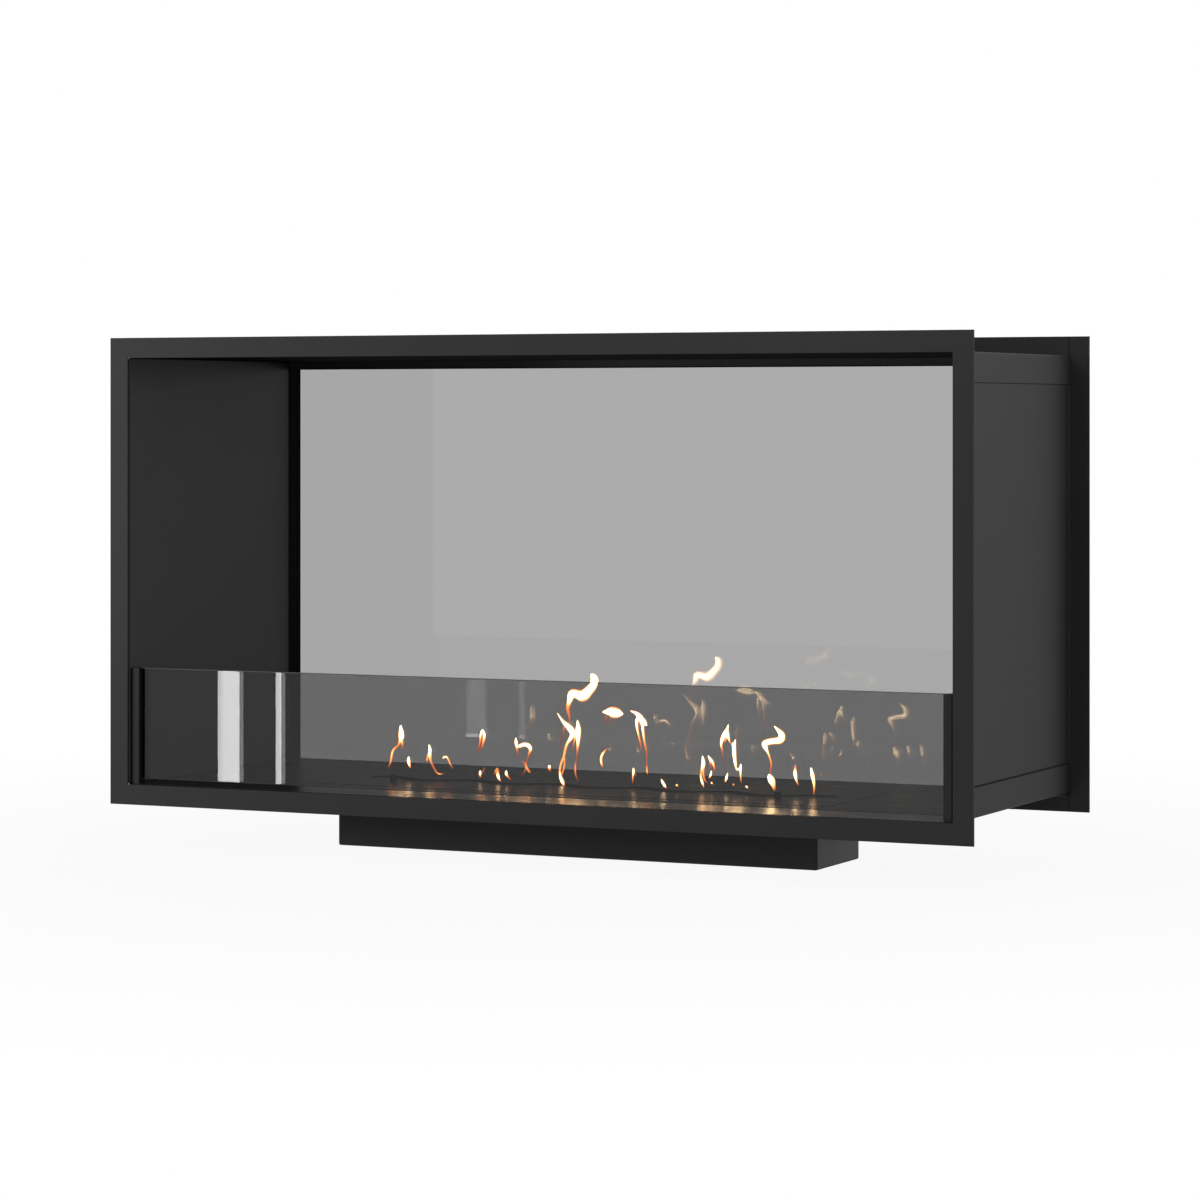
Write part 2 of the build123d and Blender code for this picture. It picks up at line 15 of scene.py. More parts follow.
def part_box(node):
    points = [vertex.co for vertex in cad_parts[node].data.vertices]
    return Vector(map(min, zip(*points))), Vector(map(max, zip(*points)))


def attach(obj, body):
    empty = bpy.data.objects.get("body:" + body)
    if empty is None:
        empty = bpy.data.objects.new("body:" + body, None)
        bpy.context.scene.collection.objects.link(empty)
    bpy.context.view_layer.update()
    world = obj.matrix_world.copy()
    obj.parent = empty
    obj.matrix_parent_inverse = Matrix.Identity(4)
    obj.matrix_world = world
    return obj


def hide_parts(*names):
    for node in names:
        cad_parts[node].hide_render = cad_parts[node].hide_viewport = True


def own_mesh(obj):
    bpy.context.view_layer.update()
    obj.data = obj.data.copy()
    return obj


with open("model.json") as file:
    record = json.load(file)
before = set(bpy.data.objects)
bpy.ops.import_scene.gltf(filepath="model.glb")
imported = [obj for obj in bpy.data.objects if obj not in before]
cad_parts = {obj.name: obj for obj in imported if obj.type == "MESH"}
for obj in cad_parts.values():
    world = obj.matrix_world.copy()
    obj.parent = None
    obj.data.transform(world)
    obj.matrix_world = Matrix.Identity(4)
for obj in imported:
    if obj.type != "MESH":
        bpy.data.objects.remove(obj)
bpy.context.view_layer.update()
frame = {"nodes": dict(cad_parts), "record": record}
nodes = frame["nodes"]

# The firebox is the space between the side panels, the flanges, the floor and the cover.
firebox_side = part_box("rear_channel_right")[1].x
firebox_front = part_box("front_flange")[1].y
firebox_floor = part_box("left_glass_holder")[0].z
firebox_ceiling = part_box("rear_channel_top")[1].z
FIREBOX = (
    (-firebox_side, firebox_side),
    (firebox_front, -firebox_front),
    (firebox_floor, firebox_ceiling),
)
SKIN = 0.0004  # how far into a sheet a face still counts as its inner face
SHEET = 0.0015  # thickness of the casing's sheets
FACING = 0.9  # a face looks along an axis when its normal's share of it is above this


# ------------------------------------------------------------------ node trees
class Value:
    """An output socket in a node tree. Arithmetic on it adds Math nodes."""

    def __init__(self, wiring, socket):
        self.wiring = wiring
        self.socket = socket

    def maths(self, operation, *others):
        return self.wiring.maths(operation, self, *others)

    def __add__(self, other):
        return self.maths("ADD", other)

    __radd__ = __add__

    def __sub__(self, other):
        return self.maths("SUBTRACT", other)

    def __rsub__(self, other):
        return self.wiring.maths("SUBTRACT", other, self)

    def __mul__(self, other):
        return self.maths("MULTIPLY", other)

    __rmul__ = __mul__

    def __truediv__(self, other):
        return self.maths("DIVIDE", other)

    def __pow__(self, other):
        return self.maths("POWER", other)

    def __abs__(self):
        return self.maths("ABSOLUTE")

    def above(self, limit):
        return self.maths("GREATER_THAN", limit)

    def below(self, limit):
        return self.maths("LESS_THAN", limit)

    def clamped(self):
        return self.maths("MAXIMUM", 0.0).maths("MINIMUM", 1.0)


class Wiring:
    """A node tree that is filled from Python."""

    def __init__(self, tree):
        self.tree = tree
        tree.nodes.clear()

    def node(self, kind, settings=None, inputs=None, output=0):
        """Adds a node: its settings first, then the values or links of its sockets."""
        made = self.tree.nodes.new(kind)
        for name, value in (settings or {}).items():
            if name == "stops":
                ramp = made.color_ramp.elements
                while len(ramp) < len(value):
                    ramp.new(0.5)
                for stop, (place, colour) in zip(ramp, value):
                    stop.position = place
                    stop.color = (*colour, 1.0)
            else:
                setattr(made, name, value)
        for key, value in (inputs or {}).items():
            if isinstance(value, Value):
                self.tree.links.new(value.socket, made.inputs[key])
            else:
                made.inputs[key].default_value = value
        return Value(self, made.outputs[output]) if len(made.outputs) else None

    def maths(self, operation, *terms):
        """A Math node whose first sockets take the terms."""
        return self.node("ShaderNodeMath", {"operation": operation}, dict(enumerate(terms)))

    def place(self, scale=(1.0, 1.0, 1.0)):
        """Object coordinates, stretched by scale."""
        coordinates = self.node("ShaderNodeTexCoord", output=3)
        return self.node("ShaderNodeMapping", {}, {"Vector": coordinates, "Scale": scale})

    def noise(self, scale, detail=2.0, rough=0.5, stretch=(1.0, 1.0, 1.0)):
        inputs = {"Vector": self.place(stretch), "Scale": scale, "Detail": detail, "Roughness": rough}
        return self.node("ShaderNodeTexNoise", {}, inputs)

    def colours(self, factor, first, second):
        """First colour where the factor is 0, second where it is 1."""
        first, second = ((*c, 1.0) if isinstance(c, tuple) else c for c in (first, second))
        return self.node("ShaderNodeMix", {"data_type": "RGBA"}, {0: factor, 6: first, 7: second}, 2)

    def bump(self, height, distance, strength=1.0):
        inputs = {"Height": height, "Distance": distance, "Strength": strength}
        return self.node("ShaderNodeBump", {}, inputs)

    def axis(self, vector, index):
        return self.node("ShaderNodeSeparateXYZ", {}, {0: vector}, index)

    def normal(self, index):
        """One axis of the surface's normal in the object's own frame."""
        return self.axis(self.node("ShaderNodeTexCoord", output=1), index)

    def in_firebox(self):
        """1 on the faces that look into the firebox, else 0."""
        place = self.place()
        inside = [
            self.axis(place, index).above(low - SKIN) * self.axis(place, index).below(high + SKIN)
            for index, (low, high) in enumerate(FIREBOX)
        ]
        return inside[0] * inside[1] * inside[2]

    def blend(self, factor, first, second):
        """First shader where the factor is 0, second where it is 1."""
        return self.node("ShaderNodeMixShader", {}, {0: factor, 1: first, 2: second})

    def principled(self, **inputs):
        """The main shader. Its sockets are named with underscores for spaces."""
        sockets = {key.replace("_", " "): value for key, value in inputs.items()}
        return self.node("ShaderNodeBsdfPrincipled", {}, sockets)


def material(name, build):
    """A material whose surface is what build(wiring) returns."""
    made = bpy.data.materials.new(name)
    made.use_nodes = True
    wiring = Wiring(made.node_tree)
    wiring.node("ShaderNodeOutputMaterial", {}, {"Surface": build(wiring)})
    return made


# -------------------------------------------------------------------- finishes
def coat(w):
    """Matte black powder coat: a fine grain, with slow drifts in gloss and depth."""
    grain = w.noise(1500.0, 3.0)
    drift = w.noise(9.0, 3.0)
    colour = w.colours((drift * 1.6 - 0.3).clamped(), (0.0165, 0.0165, 0.017), (0.0215, 0.0215, 0.022))
    return w.principled(
        Base_Color=colour,
        Roughness=0.46 + drift * 0.06 + grain * 0.08,
        Specular_IOR_Level=0.37,
        Normal=w.bump(grain, 0.00022, 0.6),
    )


def powder_coat(w):
    """The powder coat, near black on the faces that look down inside the firebox: a film of soot, and
    painted shade under the cover.
    """
    film = w.noise(5.0, 4.0)
    soot_and_painted_shade = w.principled(
        Base_Color=w.colours(film, (0.002, 0.002, 0.002), (0.004, 0.0038, 0.0036)),
        Roughness=0.9,
        Specular_IOR_Level=0.04,
    )
    # faces that look down inside the firebox get soot and painted shade
    return w.blend(w.in_firebox() * w.normal(2).below(-FACING), coat(w), soot_and_painted_shade)


def satin_paint(w):
    """Heat-resistant black over brushed steel in the firebox, powder coat outside it.

    Level faces are glossy along the strokes of the brush, upright ones are matte.
    """
    strokes = w.noise(60.0, 5.0, 0.65, (0.02, 14.0, 14.0))
    drift = w.noise(6.0, 2.0)
    colour = w.colours(strokes, (0.012, 0.012, 0.0125), (0.024, 0.024, 0.0245))
    brushed = w.bump(strokes, 0.0002, 0.6)
    matte = w.principled(Base_Color=colour, Roughness=0.8, Specular_IOR_Level=0.0, Normal=brushed)
    gloss = w.principled(
        Base_Color=colour,
        Roughness=0.2 + strokes * 0.1 + drift * 0.05,
        Specular_IOR_Level=0.2,
        Normal=brushed,
    )
    satin = w.blend((0.55 + strokes * 0.4).clamped() * abs(w.normal(2)), matte, gloss)
    return w.blend(w.in_firebox(), coat(w), satin)


def channel_paint(w):
    """Black paint of the pane holders and the rear channels."""
    grain = w.noise(1800.0, 2.0)
    return w.principled(
        Base_Color=w.colours(grain, (0.006, 0.006, 0.0062), (0.011, 0.011, 0.0112)),
        Roughness=0.5 + grain * 0.1,
        Specular_IOR_Level=0.4,
        Normal=w.bump(grain, 0.00015, 0.5),
    )


def tinted_glass(pass_share, edge):
    """A grey-tinted pane that lets pass_share of the light through. Its ground edges are matte.

    Light crosses two faces, so each takes the square root.
    """

    def build(w):
        facing = abs(w.normal(1)).above(FACING)
        return w.principled(
            Base_Color=w.colours(facing, edge, (0.0, 0.0, 0.0)),
            Roughness=(1 - facing) * 0.4,
            Alpha=1 - facing * math.sqrt(pass_share),
            IOR=1.52,
            Specular_IOR_Level=1.0,
        )

    return build


def black_rubber(w):
    """Seals, nylon spacers and the black beads of painted shade at the laps: dead matte, faintly dusty."""
    dust = w.noise(300.0, 4.0)
    return w.principled(
        Base_Color=w.colours(dust, (0.003, 0.003, 0.003), (0.008, 0.008, 0.008)),
        Roughness=0.75 + dust * 0.15,
        Specular_IOR_Level=0.3,
        Normal=w.bump(dust, 0.0001, 0.4),
    )


def zinc_plate(w):
    """Zinc-plated fasteners: bright, with a faint spangle."""
    spangle = w.noise(700.0, 2.0)
    return w.principled(
        Base_Color=w.colours(spangle, (0.42, 0.42, 0.41), (0.62, 0.61, 0.58)),
        Metallic=1.0,
        Roughness=0.28 + spangle * 0.2,
        Normal=w.bump(spangle, 0.00005, 0.4),
    )


def stainless(w):
    """Stainless sheet of the tank, tinted straw by heat near its top."""
    grain = w.noise(90.0, 4.0, 0.6, (0.05, 10.0, 10.0))
    height = w.axis(w.place(), 2)
    heat = ((height - 0.04) * 25.0 + w.noise(14.0, 3.0) * 0.6 - 0.3).clamped()
    straw = w.colours(heat, (0.5, 0.49, 0.47), (0.42, 0.31, 0.2))
    return w.principled(
        Base_Color=w.colours(grain * 0.5, straw, (0.2, 0.19, 0.2)),
        Metallic=1.0,
        Roughness=0.26 + grain * 0.18,
        Normal=w.bump(grain, 0.0001, 0.4),
    )


def ceramic_wool(w):
    """White fibre wool, scorched in patches where it burns."""
    fibre = w.noise(900.0, 6.0, 0.7, (1.0, 0.35, 1.0))
    scorch = ((w.noise(25.0, 3.0) - 0.42) * 4.0).clamped()
    colour = w.colours(scorch, (0.74, 0.71, 0.65), (0.3, 0.25, 0.2))
    return w.principled(
        Base_Color=w.colours(fibre, (0.4, 0.37, 0.33), colour),
        Roughness=0.95,
        Specular_IOR_Level=0.1,
        Normal=w.bump(fibre, 0.0012, 0.8),
    )


def flame_glow(w):
    """Flame: white-hot core, yellow then orange towards the rim, dim red tails."""
    heat = w.node("ShaderNodeAttribute", {"attribute_name": "flame_warmth"}, output=2)
    rim = w.node("ShaderNodeAttribute", {"attribute_name": "flame_rim"}, output=2)
    edge = abs(rim) ** 3.2
    warmth = (heat * (1 - edge * 0.75)).clamped()
    stops = [
        (0.0, (0.0014, 0.0002, 0.0)),
        (0.25, (0.038, 0.0057, 0.0015)),
        (0.5, (0.105, 0.026, 0.0057)),
        (0.7, (0.17, 0.067, 0.017)),
        (0.85, (0.33, 0.215, 0.094)),
        (1.0, (1.0, 0.7, 0.38)),
    ]
    glow = w.node("ShaderNodeValToRGB", {"stops": stops}, {0: warmth})
    return w.principled(
        Base_Color=(0.0, 0.0, 0.0, 1.0),
        Roughness=1.0,
        Specular_IOR_Level=0.0,
        Emission_Color=glow,
        Emission_Strength=34.0,
        Alpha=(heat * 1.4 + 0.15).clamped() * (1 - edge * 0.6),
    )


FINISHES = {
    "powder_coat": powder_coat,
    "heat_paint_floor": satin_paint,
    "channel_paint": channel_paint,
    "tinted_front_glass": tinted_glass(0.28, (0.11, 0.115, 0.113)),
    "tinted_rear_glass": tinted_glass(0.385, (0.02, 0.02, 0.02)),
    "black_seal": black_rubber,
    "zinc_steel": zinc_plate,
    "stainless_tank": stainless,
    "ceramic_fibre": ceramic_wool,
}
slot_material = {slot: material(slot, build) for slot, build in FINISHES.items()}
for part in frame["record"]["subparts"]:
    mesh = nodes[part["node"]].data
    mesh.materials.clear()
    mesh.materials.append(slot_material[part["material_slot"]])

# ---------------------------------------------------------------------- camera
PICTURE = 1200.0  # pixels along each side of the picture
SENSOR = 36.0
FOCAL_PIXELS = 3889.4
HORIZON_ROW = 414.9
camera_place = Vector((2.1624, -4.57, 0.568))
camera_turn = math.radians(25.243)

camera_data = bpy.data.cameras.new("camera")
camera_data.sensor_width = SENSOR
camera_data.lens = FOCAL_PIXELS / PICTURE * SENSOR
camera_data.shift_y = (HORIZON_ROW - PICTURE / 2) / PICTURE
camera = bpy.data.objects.new("camera", camera_data)
camera.location = camera_place
camera.rotation_euler = (math.pi / 2, 0, camera_turn)
bpy.context.scene.collection.objects.link(camera)
bpy.context.scene.camera = camera
camera_side = Vector((math.cos(camera_turn), math.sin(camera_turn), 0))
camera_ahead = Vector((-math.sin(camera_turn), math.cos(camera_turn), 0))


def from_picture(column, row, depth_y):
    """The point seen at a pixel on the upright plane at depth_y, and the size of a pixel there."""
    ray = camera_ahead + camera_side * (column - PICTURE / 2) / FOCAL_PIXELS
    ray.z = (HORIZON_ROW - row) / FOCAL_PIXELS
    reach = (depth_y - camera_place.y) / ray.y
    return camera_place + ray * reach, reach / FOCAL_PIXELS


# ------------------------------------------------------------------------- wick
WICK_CELL = 0.004  # spacing of the pad's points
WICK_ROUND = 0.0035
WICK_CLEAR = 0.0003
WICK_LUMP = 0.0011  # depth of the lumps in the wool
LUMPS_PER_METRE = 90.0
LUMP_FRACTAL = (0.8, 2.0, 4)  # smoothness, growth of frequency and octaves of the lumps
PRESS_DEPTH = 0.0007  # how far the grille's bars sink into the wool
PRESS_EDGE = 0.002  # breadth of the slope beside a bar
GRILLE_PITCH = (0.029, 0.026)
GRILLE_SLOT = (0.020, 0.006)


def pressed(place):
    """1 where a bar of the grille lies on the wool, 0 in the middle of a slot."""
    shares = []
    for axis, offset in ((0, 0.5), (1, 0.0)):
        step = place[axis] / GRILLE_PITCH[axis] + offset
        reach = abs(step - round(step)) * GRILLE_PITCH[axis] - GRILLE_SLOT[axis] / 2
        shares.append(min(max(reach / PRESS_EDGE + 0.5, 0.0), 1.0))
    return max(shares)


def make_wick():
    """Ceramic wool pad: a rounded, lumpy slab, pressed in by the grille above it."""
    low, high = (Vector(corner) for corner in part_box("wick_pad"))
    clear = Vector((WICK_CLEAR, WICK_CLEAR, WICK_CLEAR))
    low, high = low + clear, high - clear
    pad = bmesh.new()
    bmesh.ops.create_cube(pad, size=1.0)
    for vertex in pad.verts:
        vertex.co = [l + (c + 0.5) * (h - l) for l, h, c in zip(low, high, vertex.co)]
    for axis in range(3):
        count = round((high[axis] - low[axis]) / WICK_CELL)
        normal = Vector([float(axis == index) for index in range(3)])
        for step in range(1, count):
            cut = low.lerp(high, step / count)
            geometry = pad.verts[:] + pad.edges[:] + pad.faces[:]
            bmesh.ops.bisect_plane(pad, geom=geometry, plane_co=cut, plane_no=normal, dist=1e-7)
    for vertex in pad.verts:
        limits = zip(vertex.co, low, high)
        core = Vector([min(max(c, l + WICK_ROUND), h - WICK_ROUND) for c, l, h in limits])
        outward = (vertex.co - core).normalized()
        lump = noise.fractal(vertex.co * LUMPS_PER_METRE, *LUMP_FRACTAL) * 0.5 + 0.5
        vertex.co = core + outward * (WICK_ROUND - WICK_LUMP * min(max(lump, 0.0), 1.0))
        if outward.z > FACING:
            vertex.co.z -= PRESS_DEPTH * pressed(vertex.co)
    bmesh.ops.recalc_face_normals(pad, faces=pad.faces)
    data = bpy.data.meshes.new("wool_wick")
    pad.to_mesh(data)
    pad.free()
    data.shade_smooth()
    data.materials.append(slot_material["ceramic_fibre"])
    wick = bpy.data.objects.new("wool_wick", data)
    bpy.context.scene.collection.objects.link(wick)
    return wick


wick = make_wick()
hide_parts("wick_pad")
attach(wick, "burner")

# ------------------------------------------------------------------- fasteners
THREAD_SIDES = 20  # facets round a thread
THREAD_STEPS = 4  # rings of points along one turn of a thread
THREAD_DEPTH = 0.6  # share of the pitch, as in a standard metric thread
SOCKET_DEPTH = 0.8  # share of a screw head's height
CROWN_SHARE = 0.97  # a nut's turned face against the width across its flats
DIMPLE_SHARE = 0.6  # a drawn-off mandrel's hole against its rivet's shank
WELD = 1e-6  # points of a node's mesh that lie this close are one


class Recipe(Wiring):
    """Geometry nodes that stand one fastener on each point, turned to the point's "direction"."""

    def __init__(self, name, sizes):
        super().__init__(bpy.data.node_groups.new(name, "GeometryNodeTree"))
        sockets = self.tree.interface
        self.keys = {}
        sockets.new_socket("Places", in_out="INPUT", socket_type="NodeSocketGeometry")
        for size in sizes:
            socket = sockets.new_socket(size, in_out="INPUT", socket_type="NodeSocketFloat")
            self.keys[size] = socket.identifier
        sockets.new_socket("Fasteners", in_out="OUTPUT", socket_type="NodeSocketGeometry")
        self.source = self.tree.nodes.new("NodeGroupInput")

    def size(self, name):
        return Value(self, self.source.outputs[name])

    def vector(self, x, y, z):
        return self.node("ShaderNodeCombineXYZ", {}, {0: x, 1: y, 2: z})

    def raised(self, shape, height):
        """The shape moved up by height."""
        shift = self.vector(0.0, 0.0, height)
        return self.node("GeometryNodeTransform", {}, {"Geometry": shape, "Translation": shift})

    def cone(self, low_radius, high_radius, height, sides):
        """A cone's frustum that stands on the origin."""
        sizes = {"Radius Bottom": low_radius, "Radius Top": high_radius, "Depth": height, "Vertices": sides}
        return self.node("GeometryNodeMeshCone", {}, sizes)

    def rod(self, radius, height, sides):
        """A prism that stands on the origin."""
        return self.cone(radius, radius, height, sides)

    def boolean(self, operation, first, *others):
        """The first shape less the others, or what all of them share."""
        made = self.tree.nodes.new("GeometryNodeMeshBoolean")
        made.operation = operation
        made.solver = "EXACT"
        if operation == "INTERSECT":
            others = (first, *others)
        else:
            self.tree.links.new(first.socket, made.inputs[0])
        for other in others:
            self.tree.links.new(other.socket, made.inputs[1])
        return Value(self, made.outputs[0])

    def joined(self, *shapes):
        """The shapes as one, each still a closed skin of its own."""
        made = self.tree.nodes.new("GeometryNodeJoinGeometry")
        for shape in shapes:
            self.tree.links.new(shape.socket, made.inputs[0])
        return Value(self, made.outputs[0])

    def threaded_shank(self, low, length):
        """A shank from height low upwards, its side cut by one helical groove."""
        radius, pitch = self.size("Shank radius"), self.size("Pitch")
        rings = (length * THREAD_STEPS / pitch).maths("ROUND")
        sizes = {"Vertices": THREAD_SIDES, "Side Segments": rings, "Radius": radius, "Depth": length}
        rod = self.node("GeometryNodeMeshCylinder", {"fill_type": "NGON"}, sizes)
        place = self.node("GeometryNodeInputPosition")
        x, y, z = (self.axis(place, index) for index in range(3))
        turn = y.maths("ARCTAN2", x) * (0.5 / math.pi)
        groove = abs((z / pitch - turn).maths("FRACT") - 0.5) * 2.0
        share = 1.0 - groove * (pitch * THREAD_DEPTH) / radius
        cut_to = self.vector(x * share, y * share, z)
        cut = self.node("GeometryNodeSetPosition", {}, {"Geometry": rod, "Position": cut_to})
        return self.raised(cut, length * 0.5 + low)

    def stand(self, fastener):
        """Stands the fastener on the points, as one plain mesh with its finish."""
        vectors = {"data_type": "FLOAT_VECTOR"}
        direction = self.node("GeometryNodeInputNamedAttribute", vectors, {"Name": "direction"})
        turn = self.node("FunctionNodeAlignRotationToVector", {"axis": "Z"}, {"Vector": direction})
        places = Value(self, self.source.outputs["Places"])
        standing = {"Points": places, "Instance": fastener, "Rotation": turn}
        stood = self.node("GeometryNodeInstanceOnPoints", {}, standing)
        real = self.node("GeometryNodeRealizeInstances", {}, {"Geometry": stood})
        finish = {"Geometry": real, "Material": slot_material["zinc_steel"]}
        dressed = self.node("GeometryNodeSetMaterial", {}, finish)
        self.node("NodeGroupOutput", {}, {"Fasteners": dressed})


def sunk_screw_recipe():
    """Countersunk screw with a hexagon socket. Its head's face lies on the point."""
    r = Recipe("sunk_screw", ["Head radius", "Shank radius", "Length", "Pitch", "Socket radius"])
    head_depth = r.size("Head radius") - r.size("Shank radius")
    head = r.cone(r.size("Head radius"), r.size("Shank radius"), head_depth, sides=32)
    hexagon = r.rod(r.size("Socket radius"), head_depth * (2 * SOCKET_DEPTH), sides=6)
    socket = r.raised(hexagon, head_depth * -SOCKET_DEPTH)
    shank = r.threaded_shank(head_depth, r.size("Length") - head_depth)
    r.stand(r.joined(r.boolean("DIFFERENCE", head, socket), shank))
    return r


def stud_recipe():
    """Threaded stud that hangs from the point."""
    r = Recipe("stud", ["Shank radius", "Length", "Pitch"])
    r.stand(r.threaded_shank(0.0, r.size("Length")))
    return r


def nut_recipe():
    """Hexagon nut with a plain bore and turned corners. It stands on the point."""
    r = Recipe("nut", ["Flat radius", "Bore radius", "Thickness"])
    height = r.size("Thickness")
    corner = r.size("Flat radius") * (2 / math.sqrt(3))
    crown = r.size("Flat radius") * CROWN_SHARE
    slope = height * math.sqrt(3)  # the corners are turned off at 30 degrees
    body = r.rod(corner, height, sides=6)
    lower = r.cone(crown, crown + slope, height, sides=40)
    upper = r.cone(crown + slope, crown, height, sides=40)
    bore = r.raised(r.rod(r.size("Bore radius"), height * 2.0, sides=24), height * -0.5)
    turned = r.boolean("INTERSECT", body, lower, upper)
    r.stand(r.boolean("DIFFERENCE", turned, bore))
    return r


def rivet_recipe():
    """Blind rivet: sunk head with its drawn-off mandrel, shank and swollen tail.

    Its head's face lies on the point.
    """
    r = Recipe("blind_rivet", ["Head radius", "Shank radius", "Grip", "Tail radius", "Tail height"])
    shank_radius = r.size("Shank radius")
    head_depth = r.size("Head radius") - shank_radius
    head = r.cone(r.size("Head radius"), shank_radius, head_depth, sides=28)
    hole = r.rod(shank_radius * DIMPLE_SHARE, head_depth, sides=16)
    dimple = r.raised(hole, head_depth * -0.5)
    shank = r.raised(r.rod(shank_radius, r.size("Grip") - head_depth, sides=20), head_depth)
    ball_sizes = {"Segments": 20, "Rings": 10, "Radius": r.size("Tail radius")}
    ball = r.node("GeometryNodeMeshUVSphere", {}, ball_sizes)
    squash = r.vector(1.0, 1.0, r.size("Tail height") * 0.5 / r.size("Tail radius"))
    swollen = r.node("GeometryNodeTransform", {}, {"Geometry": ball, "Scale": squash})
    tail = r.raised(swollen, r.size("Grip") + r.size("Tail height") * 0.5)
    r.stand(r.joined(r.boolean("DIFFERENCE", head, dimple), shank, tail))
    return r


def solids_of(node):
    """The lowest and highest corner of each separate solid in a node."""
    mesh = bmesh.new()
    mesh.from_mesh(nodes[node].data)
    bmesh.ops.remove_doubles(mesh, verts=mesh.verts, dist=WELD)
    boxes = []
    waiting = set(mesh.verts)
    while waiting:
        solid = [waiting.pop()]
        for vertex in solid:
            near = {edge.other_vert(vertex) for edge in vertex.link_edges} & waiting
            waiting -= near
            solid.extend(near)
        points = [vertex.co for vertex in solid]
        low = Vector([min(point[axis] for point in points) for axis in range(3)])
        high = Vector([max(point[axis] for point in points) for axis in range(3)])
        boxes.append((low, high))
    mesh.free()
    return sorted(boxes, key=lambda box: tuple(box[0]))


def make_fasteners(node, recipe, pointing, sizes):
    """Replaces a node's solids by detailed ones, pointing "OUT" to the sides, "UP" or "DOWN"."""
    points, directions = [], []
    for low, high in solids_of(node):
        point = (low + high) / 2
        if pointing == "OUT":
            axis, way = 0, math.copysign(1.0, point.x)
        else:
            axis, way = 2, 1.0 if pointing == "UP" else -1.0
        point[axis] = low[axis] if way > 0 else high[axis]
        points.append(tuple(point))
        directions.extend(way if index == axis else 0.0 for index in range(3))
    mesh = bpy.data.meshes.new(f"{node}_places")
    mesh.from_pydata(points, [], [])
    mesh.attributes.new("direction", "FLOAT_VECTOR", "POINT").data.foreach_set("vector", directions)
    holder = bpy.data.objects.new(f"detailed_{node}", mesh)
    bpy.context.scene.collection.objects.link(holder)
    maker = holder.modifiers.new("fasteners", "NODES")
    maker.node_group = recipe.tree
    for name, value in sizes.items():
        maker[recipe.keys[name]] = value
    graph = bpy.context.evaluated_depsgraph_get()
    solid = bpy.data.meshes.new_from_object(holder.evaluated_get(graph), depsgraph=graph)
    holder.modifiers.remove(maker)
    holder.data = solid
    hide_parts(node)
    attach(holder, "root")


def size_of(node):
    """The extent of one of a node's solids along X, Y and Z."""
    low, high = solids_of(node)[-1]
    return high - low


SCREW_RADIUS = 0.002
SCREW_PITCH = 0.0007
SCREW_SOCKET = 0.00125  # radius over the socket's corners
STUD_RADIUS = 0.0025
STUD_PITCH = 0.0008
BORE_PLAY = 0.0001  # how much wider a nut's bore is than the shank in it, in radius
RIVET_RADIUS = 0.0016
RIVET_TAIL_RADIUS = 0.0024
RIVET_TAIL = 0.003
screw, screw_nut = size_of("holder_screws"), size_of("holder_nuts")
stud, stud_nut = size_of("housing_studs"), size_of("housing_nuts")
rivet = size_of("rear_channel_rivets")
nut = nut_recipe()
make_fasteners("holder_screws", sunk_screw_recipe(), "OUT", {
    "Head radius": screw.y / 2,
    "Shank radius": SCREW_RADIUS,
    "Length": screw.x,
    "Pitch": SCREW_PITCH,
    "Socket radius": SCREW_SOCKET,
})
make_fasteners("holder_nuts", nut, "OUT", {
    "Flat radius": screw_nut.z / 2,
    "Bore radius": SCREW_RADIUS + BORE_PLAY,
    "Thickness": screw_nut.x,
})
make_fasteners("housing_studs", stud_recipe(), "DOWN", {
    "Shank radius": STUD_RADIUS,
    "Length": stud.z,
    "Pitch": STUD_PITCH,
})
make_fasteners("housing_nuts", nut, "DOWN", {
    "Flat radius": stud_nut.y / 2,
    "Bore radius": STUD_RADIUS + BORE_PLAY,
    "Thickness": stud_nut.z,
})
make_fasteners("rear_channel_rivets", rivet_recipe(), "UP", {
    "Head radius": rivet.x / 2,
    "Shank radius": RIVET_RADIUS,
    "Grip": rivet.z - RIVET_TAIL,
    "Tail radius": RIVET_TAIL_RADIUS,
    "Tail height": RIVET_TAIL,
})

# ---------------------------------------------------------------------- painted shade beads
BEAD_STEPS = 5  # facets across a bead's hollow face
BEAD_TIP = 0.999  # how near the hollow face comes to the bead's edges, as a share
TRAY_BEAD = 0.0022  # height of the bead on the tray's lap
COVER_BEAD = 0.0009  # height of the bead under the cover's lap


def bead_ring(mesh, side, y, lap_edge, rise):
    """Points round one end of a bead: its corner on the panel, then its hollow face."""
    lap_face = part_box("floor_tray")[1].x
    panel_face = lap_face - SHEET
    ring = [mesh.verts.new((side * panel_face, y, lap_edge))]
    for step in range(BEAD_STEPS + 1):
        turn = math.pi / 2 * step / BEAD_STEPS
        out = SHEET * (1 - math.sin(turn) * BEAD_TIP)
        up = abs(rise) * (1 - math.cos(turn) * BEAD_TIP)
        ring.append(mesh.verts.new((side * (panel_face + out), y, lap_edge + math.copysign(up, rise))))
    return ring


